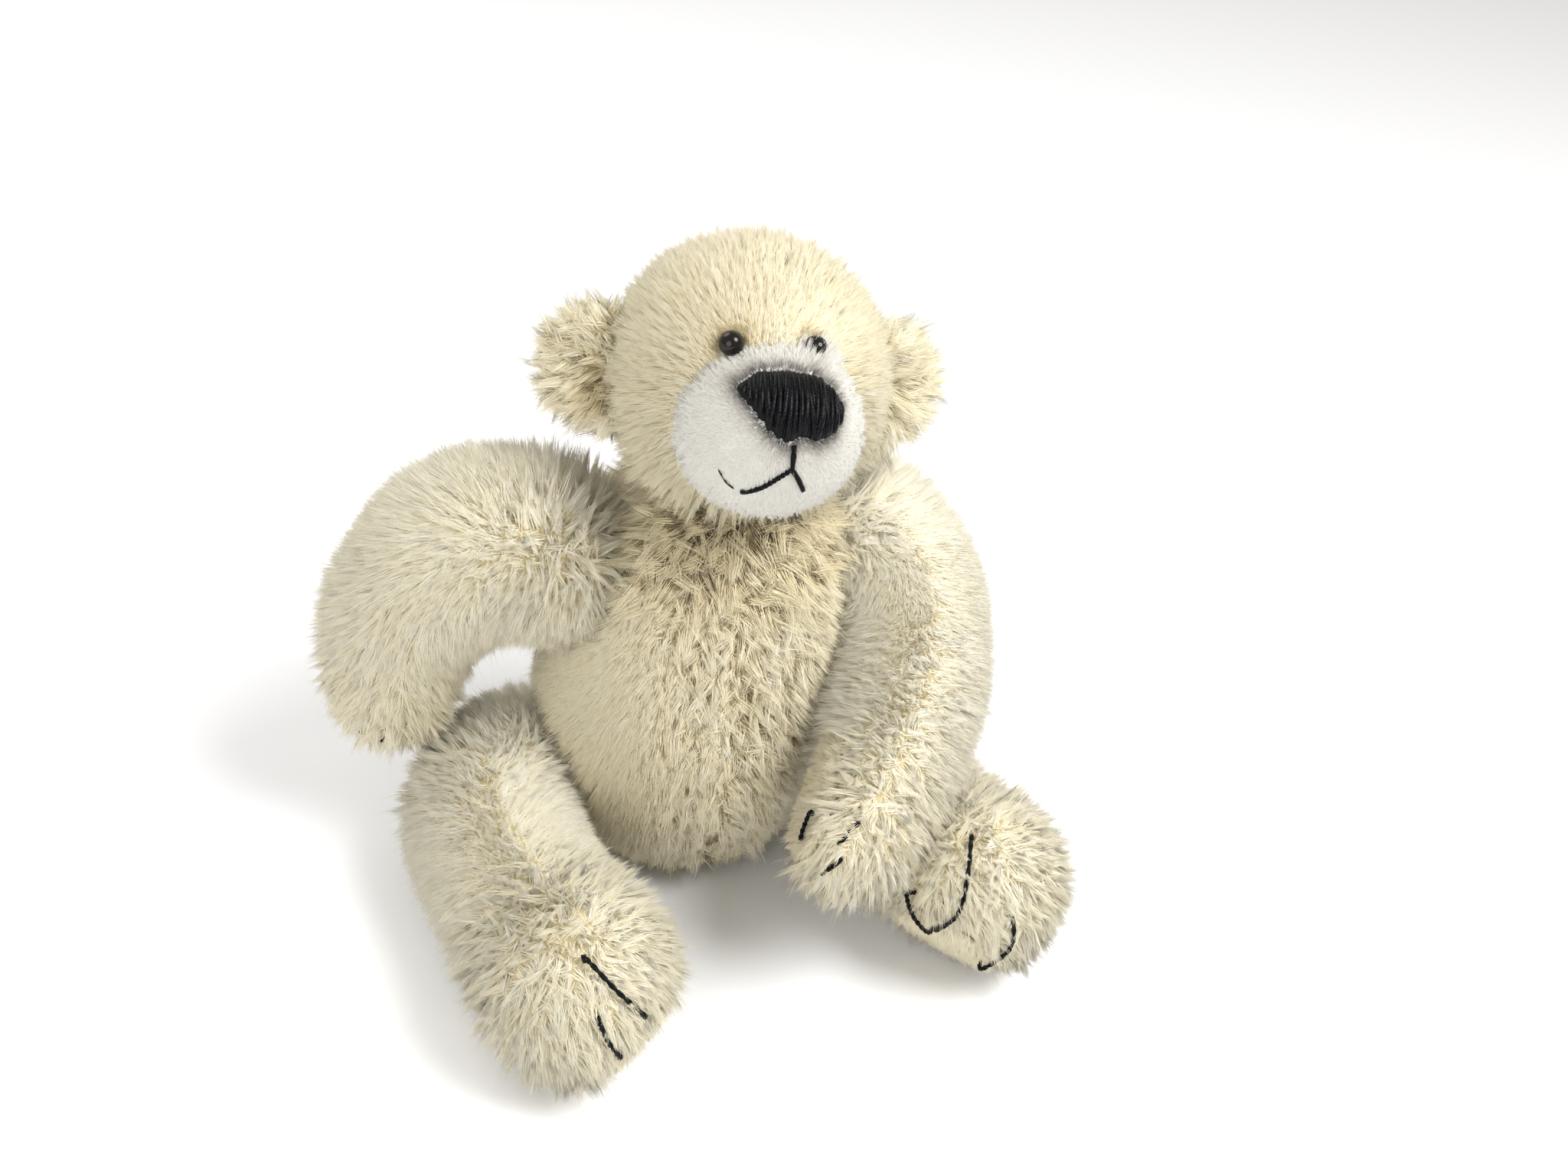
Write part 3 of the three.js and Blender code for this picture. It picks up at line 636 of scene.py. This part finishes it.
def body_pile():
    """Even pile at the flanks and back; the belly's is longer, in tufts, and falls from the centre seam."""
    skin = skins["torso"]
    points = skin["points"]
    x, y, z = points.T
    front = np.clip(-skin["normals"][:, 1], 0, 1)
    seam_x = SEAM_FOOT + (SEAM_TOP - SEAM_FOOT) * z / NECK[2]
    chest = np.clip((z - 40) / 30, 0, 1)
    belly = front * np.exp(-((x - seam_x) / (12 + 8 * chest)) ** 2)
    high = np.clip((z - 60) / 8, 0, 1)
    under = np.clip((8 - z) / 8, 0, 1)
    wild = np.clip(1.5 * belly, 0, 1) + 0.8 * high
    tufted = np.clip(wild, 0, 1)
    seam_trees = (node_tree("body_panel_right"), node_tree("body_panel_left"))
    fields = coat_fields("torso", np.tile(DOWN, (len(points), 1)), 3.4 + 1.6 * tufted + 1.6 * high,
                         seam_trees, seam=0.6, wild=wild)
    fields["lift"] = fields["lift"] - 0.45 * tufted
    fields["length"] = fields["length"] * (1 - 0.6 * under)
    # Painted shadow: the pile darkens toward the body's underside, and at the top of the torso under the
    # head.
    fields["shade"] = fields["shade"] - 0.25 - 4.6 * under - 1.4 * high
    fields["wild"] = fields["wild"] + 0.5 * patches(points) * (y > 0)
    in_front = np.clip((belly - 0.08) / 0.3, 0, 1) * (y < 0)
    halves = {"right": x < seam_x, "left": ~(x < seam_x)}
    for side, half in halves.items():
        grow(f"belly_pile_{side}", skin, "torso", "mohair", MOHAIR, region(fields, in_front * half),
             STRANDS["belly"], **BELLY_COAT)
    for side, half in halves.items():
        grow(f"flank_pile_{side}", skin, "torso", "mohair", MOHAIR, region(fields, (1 - in_front) * half),
             STRANDS[f"flank_{side}"])


def limb_pile(limb):
    """Combed toward the paw, tufted at the tip, and shorter round the claws."""
    skin = skins[limb]
    points = skin["points"]
    comb = along_path(limb, points) + 0.5 * DOWN
    panel_trees = [node_tree(f"{limb}_{side}_panel") for side in ("outer", "inner")]
    tip_gap = np.linalg.norm(points - SPINES[limb][-1], axis=1) - TIP_RADIUS[limb]
    paw = np.exp(-(np.maximum(tip_gap, 0) / 7) ** 2)
    joint = np.linalg.norm(points - SPINES[limb][0], axis=1)
    shoulder = np.clip((24 - joint) / 8, 0, 1) * np.clip((points[:, 2] - 62) / 8, 0, 1)
    top = np.clip((points[:, 2] - 66) / 6, 0, 1)
    tufts = patches(points)
    length = 3.7 + 0.4 * paw + 0.6 * tufts + 1.2 * top + 2.0 * shoulder
    wild = 0.1 + 0.5 * paw + 0.55 * tufts + 0.6 * shoulder
    fields = coat_fields(limb, comb, length, panel_trees, seam=0.35, wild=wild)
    # Painted light lightens the limb's pile.
    fields["shade"] = fields["shade"] + LIMB_PAINTED_LIGHT[limb] - 0.5 * paw
    pad_gap = nearest(node_tree(PADS[limb]), points, 12)[0]
    fields["weight"] = fields["weight"] * (pad_gap > 0.6)
    fields["length"] = fields["length"] + 1.2 * np.exp(-pad_gap / 2)
    claw_gap = nearest(node_tree(f"{limb}_claw_thread"), points, 8)[0]
    fields["length"] = np.minimum(fields["length"], CLAW_PILE[limb[:3]] + claw_gap * 0.9)
    fields["weight"] = fields["weight"] * np.clip(claw_gap, 0.4, 1)
    fields["lift"] = fields["lift"] - 0.3 * paw
    outer = nearest(panel_trees[0], points)[0] < nearest(panel_trees[1], points)[0]
    for side, half in (("outer", outer), ("inner", ~outer)):
        grow(f"{limb}_pile_{side}", skin, limb, "mohair", MOHAIR, region(fields, half),
             STRANDS["limb_panel"])


def pad_nap(limb):
    """A short soft nap on the outer face of a pad."""
    skin = pad_skins[limb]
    outside = unit(skin["points"] - SPINES[limb][-1])
    count = len(skin["points"])
    fields = {
        "weight": ((outside * skin["normals"]).sum(1) > 0.3).astype(float),
        "comb": np.tile(DOWN, (count, 1)) + outside,
        "length": np.full(count, 2.0),
        "lift": np.full(count, 0.8),
        "wild": np.full(count, 0.6),
        "shade": np.full(count, -0.5),
        "per_lock": 12,
    }
    grow(f"{limb}_pad_nap", skin, limb, "felt", MOHAIR, fields, STRANDS["pad"], width=0.12)


def crease_shade(local):
    """How strongly painted shade darkens the pile in the crease between the right ear and the head, 0 to 1.
    """
    return np.exp(-((local - EAR_CREASE_SHADE) ** 2).sum(1) / EAR_CREASE_SHADE_RADIUS ** 2)


def head_pile():
    """Brushed back from the muzzle, and short and dark round the eyes."""
    skin = skins["head"]
    points = skin["points"]
    local = to_head(points)
    comb = points - from_head(np.array(MUZZLE_CENTRE) + (0, -6, 0))
    jowl = np.clip((-local[:, 2] - 4) / 10, 0, 1)
    seam_trees = (node_tree("head_gusset"), node_tree("head_panel_right", "head_panel_left"))
    fields = coat_fields("head", comb, 3.6 + 1.3 * jowl, seam_trees, seam=0.15, wild=0.4 + 0.5 * jowl)
    muzzle_gap = nearest(node_tree("muzzle_cover"), points, 14)[0]
    fields["wild"] = fields["wild"] + 0.35 * patches(points) + 0.4 * np.exp(-muzzle_gap / 3)
    # Painted shade darkens the pile in the crease by the right ear.
    fields["shade"] = fields["shade"] - 0.6 - 5 * crease_shade(local)
    fields["weight"] = fields["weight"] * (muzzle_gap > 0.5)
    fields["length"] = np.minimum(fields["length"], 2.0 + 1.0 * jowl + muzzle_gap * 0.6)
    for eye in EYES.values():
        gap = np.linalg.norm(local - eye, axis=1)
        fields["weight"] = fields["weight"] * (gap > 2.2)
        fields["length"] = np.minimum(fields["length"], 1.3 + np.maximum(gap - 2, 0) * 0.5)
        fields["shade"] = fields["shade"] - 4.2 * np.exp(-(np.maximum(gap - 1.8, 0) / 1.5) ** 2)
    crown = local[:, 2] + 0.3 * local[:, 1] > 4
    for name, part in (("top", crown), ("sides", ~crown)):
        grow(f"head_pile_{name}", skin, "head", "mohair", MOHAIR, region(fields, part),
             STRANDS[f"head_{name}"])


def ear_pile(side):
    """Long tufts that fan out from the head."""
    skin = ear_skins[side]
    points = skin["points"]
    outward = unit(points - from_head((0, 4, -0.5)))
    fan = unit(points - points.mean(0))
    count = len(points)
    fields = {
        "weight": np.ones(count),
        "comb": outward + 0.9 * fan,
        "length": np.full(count, 5.6),
        "lift": np.full(count, 0.8),
        "wild": np.full(count, 1.0),
        # Painted shade darkens the ear's pile in the crease by the head.
        "shade": -0.15 - 5 * crease_shade(to_head(points)),
        "per_lock": 24,
    }
    grow(f"ear_{side}_pile", skin, "head", "mohair", MOHAIR, fields, STRANDS["ear"], **EAR_COAT)


body_pile()
for limb in SPINES:
    limb_pile(limb)
    pad_nap(limb)
head_pile()
for side in SIDES:
    ear_pile(side)

# ---------------------------------------------------------------- nose, mouth, eyes, claws

NOSE_RIM = [(-5.9, 1.3), (-3.2, 3.6), (0.9, 4.2), (5.4, 3.6), (8.5, 1.7), (9.9, -0.85), (9.4, -2.95),
            (8.1, -4.85), (5.8, -5.55), (3.1, -4.85), (1.3, -6.0), (-1.4, -4.2), (-3.6, -1.7), (-5.2, 0.4)]
NOSE_CORE = 3.6
ASKEW = (0.31, 0.27, 0.91)


def nose_distance(local):
    """Distance from the nose's outline, seen from the front, and 0 within its core."""
    rim = np.array(NOSE_RIM)
    edge = np.roll(rim, -1, 0) - rim
    face = local[:, [0, 2]]
    flat = face[:, None] - rim
    t = np.clip((flat * edge).sum(2) / (edge ** 2).sum(1), 0, 1)
    gap = np.linalg.norm(flat - t[..., None] * edge, axis=2).min(1)
    reach = np.linalg.norm(face - rim.mean(0), axis=1)
    return np.where(reach < NOSE_CORE, 0, gap)


def muzzle_pile():
    """Short white pile, dark round the nose and longer just below the left eye."""
    points = muzzle_skin["points"]
    local = to_head(points)
    cover_gap = nearest(node_tree("muzzle_cover"), points, 5)[0]
    nose_gap = nose_distance(local)
    by_eye = np.exp(-(np.linalg.norm(local - EYES["left"] + (0, 0, 2.2), axis=1) / 3) ** 2)
    low_side = np.clip(0.5 - (local[:, 2] + 0.5 * local[:, 0]) / 6, 0, 1)
    halo = np.exp(-(nose_gap / (1.2 + 1.2 * low_side)) ** 1.2)
    fields = {
        "weight": (cover_gap < 1.0) * np.clip(nose_gap * 2, 0.05, 1),
        "comb": points - from_head((2, -40, 2)),
        "length": 0.9 + 0.7 * np.clip((local[:, 1] + 26) / 8, 0, 1) + 3.4 * by_eye,
        "lift": 1.1 + 0.3 * by_eye,
        "wild": 0.1 + 0.9 * np.clip((local[:, 1] + 25) / 6, 0, 1),
        "shade": -6.2 * halo * (local[:, 1] < -20),
        "per_lock": 16,
    }
    grow("muzzle_pile", muzzle_skin, "head", "velour", VELOUR, fields, STRANDS["muzzle"], **MUZZLE_COAT)


muzzle_pile()


def spline(points, count):
    """Evenly read points on a smooth curve through the given ones."""
    points = np.asarray(points, float)
    if len(points) == 2:
        return points[0] + (points[1] - points[0]) * np.linspace(0, 1, count)[:, None]
    padded = np.vstack([2 * points[0] - points[1], points, 2 * points[-1] - points[-2]])
    out = []
    for t in np.linspace(0, len(points) - 1 - 1e-9, count):
        i, f = int(t), t - int(t)
        p0, p1, p2, p3 = padded[i:i + 4]
        out.append(0.5 * (2 * p1 + (p2 - p0) * f + (2 * p0 - 5 * p1 + 4 * p2 - p3) * f * f
                          + (3 * p1 - p0 - 3 * p2 + p3) * f ** 3))
    return np.array(out)


def thread(path, radius, sides=8):
    """Points and faces of a round thread along a path, with tapered ends."""
    path = np.asarray(path, float)
    heading = unit(np.gradient(path, axis=0))
    u = unit(np.cross(heading, ASKEW))
    v = np.cross(heading, u)
    size = np.full(len(path), radius)
    size[[0, -1]] *= 0.25
    turn = np.linspace(0, 2 * math.pi, sides, endpoint=False)
    ring = np.cos(turn)[None, :, None] * u[:, None] + np.sin(turn)[None, :, None] * v[:, None]
    points = path[:, None] + ring * size[:, None, None]
    faces = []
    for row in range(len(path) - 1):
        for k in range(sides):
            a, b = row * sides + k, row * sides + (k + 1) % sides
            faces.append((a, b, b + sides, a + sides))
    faces.append(tuple(range(sides))[::-1])
    faces.append(tuple(range((len(path) - 1) * sides, len(path) * sides)))
    return points.reshape(-1, 3), faces


def merged(name, parts, material):
    points, faces, start = [], [], 0
    for part_points, part_faces in parts:
        points.append(part_points)
        faces += [tuple(i + start for i in face) for face in part_faces]
        start += len(part_points)
    mesh = bpy.data.meshes.new(name)
    mesh.from_pydata((np.vstack(points) * MM).tolist(), [], faces)
    mesh.materials.append(material)
    mesh.polygons.foreach_set("use_smooth", np.ones(len(mesh.polygons), bool))
    mesh.update()
    return new_object(name, mesh)


def two_ply(path, radius, twists):
    """Two strands wound round each other along a path."""
    path = np.asarray(path, float)
    heading = unit(np.gradient(path, axis=0))
    u = unit(np.cross(heading, ASKEW))
    v = np.cross(heading, u)
    turn = np.linspace(0, 2 * math.pi * twists, len(path))[:, None]
    wind = (np.cos(turn) * u + np.sin(turn) * v) * radius * 0.5
    return [thread(path + wind, radius * 0.62), thread(path - wind, radius * 0.62)]


def front_hit(tree, x, z, lift):
    """The point of a surface in front of a place of the face's plane, raised a little."""
    start = Vector(from_head((x, -60, z))[0])
    hit = tree.ray_cast(start, Vector(HEAD[:3, :3] @ np.array([0, 1.0, 0])))
    return np.array(hit[0]) - HEAD[:3, :3] @ np.array([0, lift, 0]) if hit[0] is not None else None


def rim_span(x):
    """Lowest and highest place of the nose's outline at one place across it."""
    rim = NOSE_RIM + NOSE_RIM[:1]
    cuts = [a[1] + (b[1] - a[1]) * (x - a[0]) / (b[0] - a[0])
            for a, b in zip(rim, rim[1:]) if (a[0] - x) * (b[0] - x) <= 0 and a[0] != b[0]]
    return min(cuts), max(cuts)


def nose_stitch(x, radius, crown, lean):
    """One upright satin stitch over the padded nose."""
    low, high = rim_span(x)
    places = []
    for t in np.linspace(0, 1, 14):
        rise = crown * math.sqrt(max(1 - (2 * t - 1) ** 2, 0)) * (1 - 0.35 * ((x - 2) / 8) ** 2)
        across = x + (x - 2) * 0.06 * math.sin(math.pi * t) + lean * (t - 0.5)
        places.append(front_hit(muzzle_skin["tree"], across, low + (high - low) * t, 0.1 + rise))
    return thread(spline(places, 26), radius)


stitches = [nose_stitch(x, 0.5, 1.3, 0) for x in np.arange(-5.5, 9.7, 0.6)]
stitches += [nose_stitch(x, rng.uniform(0.42, 0.66), rng.uniform(1.5, 2.0), rng.normal(0, 0.7))
             for x in np.arange(-5.2, 9.5, 0.8)]
nose = merged("nose_threads", stitches, THREAD)
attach(nose, "head")
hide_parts("nose_stitching")


def on_face(places, lift):
    return [front_hit(muzzle_skin["tree"], x, z, lift) for x, z in places]


MOUTH = [[(2.2, -6.4), (2.3, -8.2), (2.4, -10.6)],
         [(2.5, -10.0), (0.4, -11.7), (-1.6, -13.4), (-3.6, -14.5), (-4.6, -14.6)],
         [(2.2, -10.0), (3.6, -11.8), (5.0, -13.9)]]
CREASE = [(-5.6, -14.3), (-7.0, -13.2), (-8.3, -11.3)]
parts = []
for places in MOUTH:
    parts += two_ply(spline(on_face(places, 0.75), 30), 0.42, 7)
parts.append(thread(spline(on_face(CREASE, 0.9), 16), 0.14))
mouth = merged("mouth_threads", parts, THREAD)
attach(mouth, "head")
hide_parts("mouth_stitching")


def bead(centre, radius, rings=20, segments=32):
    """A glass bead, very slightly flattened behind, as points and faces."""
    points, faces = [], []
    for i in range(rings + 1):
        polar = math.pi * i / rings
        for k in range(segments):
            turn = 2 * math.pi * k / segments
            depth = 0.92 if polar > math.pi / 2 else 1
            points.append((math.sin(polar) * math.cos(turn), -math.cos(polar) * depth,
                           math.sin(polar) * math.sin(turn)))
    for i in range(rings):
        for k in range(segments):
            a, b = i * segments + k, i * segments + (k + 1) % segments
            faces.append((a, a + segments, b + segments, b))
    return np.array(points) * radius + centre, faces


for side, centre in EYES.items():
    points, faces = bead((0, 0, 0), 2.0)
    ball = from_head(points + np.array(centre))
    root = np.array(centre) * 0.72
    shank = thread(from_head(spline([centre, root], 6)), 0.5)
    obj = merged(f"eye_{side}_bead", [(ball, faces), shank], EYE)
    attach(obj, "head")
    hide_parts(f"eye_{side}")

CLAW_LIFT = {"arm_right": 0.2, "arm_left": 0.15, "leg_right": 1.2, "leg_left": 1.3}
CLAWS = {
    "arm_right": [[(0.1, -0.82, -0.56), (0.24, -0.6, -0.76)], [(-0.35, -0.72, -0.6), (-0.12, -0.52, -0.85)],
                  [(-0.7, -0.45, -0.55), (-0.42, -0.3, -0.86)]],
    "arm_left": [[(-0.8, 0, 0.6), (-0.96, -0.14, 0.24)], [(-0.23, -0.59, 0.77), (-0.52, -0.68, 0.52)],
                 [(-0.55, -0.8, 0.22), (-0.74, -0.66, -0.13)]],
    "leg_right": [[(-0.1, -0.5, 0.86), (0.14, -0.76, 0.63), (0.4, -0.86, 0.32)],
                  [(-0.06, -0.9, 0.42), (0.02, -0.98, 0.2), (0.14, -0.98, -0.04)]],
    "leg_left": [[(-0.3, -0.25, 0.9), (-0.45, -0.56, 0.69), (-0.57, -0.72, 0.36), (-0.74, -0.66, 0.1)],
                 [(-0.05, -0.93, 0.36), (-0.04, -0.99, 0), (-0.25, -0.9, -0.36)],
                 [(-0.93, -0.26, 0.26), (-0.9, -0.42, 0.1), (-0.8, -0.6, 0.02)]],
}
for limb, claws in CLAWS.items():
    tip, radius = np.array(SPINES[limb][-1], float), TIP_RADIUS[limb]
    parts = []
    for claw in claws:
        rays = unit(np.array(claw, float))
        over = [tip + ray * (radius + CLAW_LIFT[limb]) for ray in rays]
        path = [tip + rays[0] * (radius - 1)] + over + [tip + rays[-1] * (radius - 1)]
        parts += two_ply(spline(path, 40), 0.42, 8)
    obj = merged(f"{limb}_claw_threads", parts, THREAD)
    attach(obj, limb)
    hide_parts(f"{limb}_claw_thread")

# ---------------------------------------------------------------- kept CAD pieces

for name, node in nodes.items():
    if name.endswith(("_split_pin", "_washer")):
        look = STEEL
    elif name.endswith("_disc"):
        look = FIBREBOARD
    elif name.endswith("_stuffing"):
        look = FILLING
    elif name == "shot_bag":
        look = CALICO
    else:
        continue
    dress(node, look)

# ---------------------------------------------------------------- studio

FLOOR_REACH, FLOOR_Z = 3, -0.0006


def studio_floor():
    mesh = bpy.data.meshes.new("floor")
    corners = [(x * FLOOR_REACH, y * FLOOR_REACH, FLOOR_Z) for x, y in ((-1, -1), (1, -1), (1, 1), (-1, 1))]
    mesh.from_pydata(corners, [], [(0, 1, 2, 3)])
    mesh.materials.append(new_material("floor", (0.96, 0.965, 0.98), 0.9))
    floor = new_object("floor", mesh)


def softbox(name, place, size, power, aim=(0, -10, 55)):
    data = bpy.data.lights.new(name, "AREA")
    data.shape = "DISK"
    data.size = size
    data.energy = power
    lamp = bpy.data.objects.new(name, data)
    lamp.location = Vector(place) * MM
    lamp.rotation_euler = (Vector(aim) * MM - lamp.location).to_track_quat("-Z", "Y").to_euler()
    scene.collection.objects.link(lamp)


studio_floor()
softbox("key", (340, -360, 690), 0.45, 5.8)
softbox("fill", (-480, -500, 330), 0.6, 2.1)
softbox("back", (-250, 450, 600), 0.5, 1.6)
world = bpy.data.worlds.new("studio")
world.use_nodes = True
world.node_tree.nodes["Background"].inputs["Color"].default_value = (1, 0.98, 0.935, 1)
world.node_tree.nodes["Background"].inputs["Strength"].default_value = 0.57
scene.world = world
scene.view_settings.view_transform = "Standard"

# The camera's place is round the aim; its turn also sets the aim off the picture's centre.
CAMERA_AIM, CAMERA_DISTANCE = (0, 0, 60), 300
AZIMUTH, ELEVATION = math.radians(-20), math.radians(34)
CAMERA_TURN = [math.radians(angle) for angle in (54.909, -5.857, -19.735)]
CAMERA_LENS = 38.23

camera_data = bpy.data.cameras.new("camera")
camera_data.sensor_width = 36
camera_data.lens = CAMERA_LENS
camera_data.clip_start = 0.01
camera_data.clip_end = 20
camera = bpy.data.objects.new("camera", camera_data)
scene.collection.objects.link(camera)
away = Vector((math.sin(AZIMUTH) * math.cos(ELEVATION), -math.cos(AZIMUTH) * math.cos(ELEVATION),
               math.sin(ELEVATION)))
place = (Vector(CAMERA_AIM) + away * CAMERA_DISTANCE) * MM
camera.matrix_world = Matrix.LocRotScale(place, Euler(CAMERA_TURN), None)
scene.camera = camera
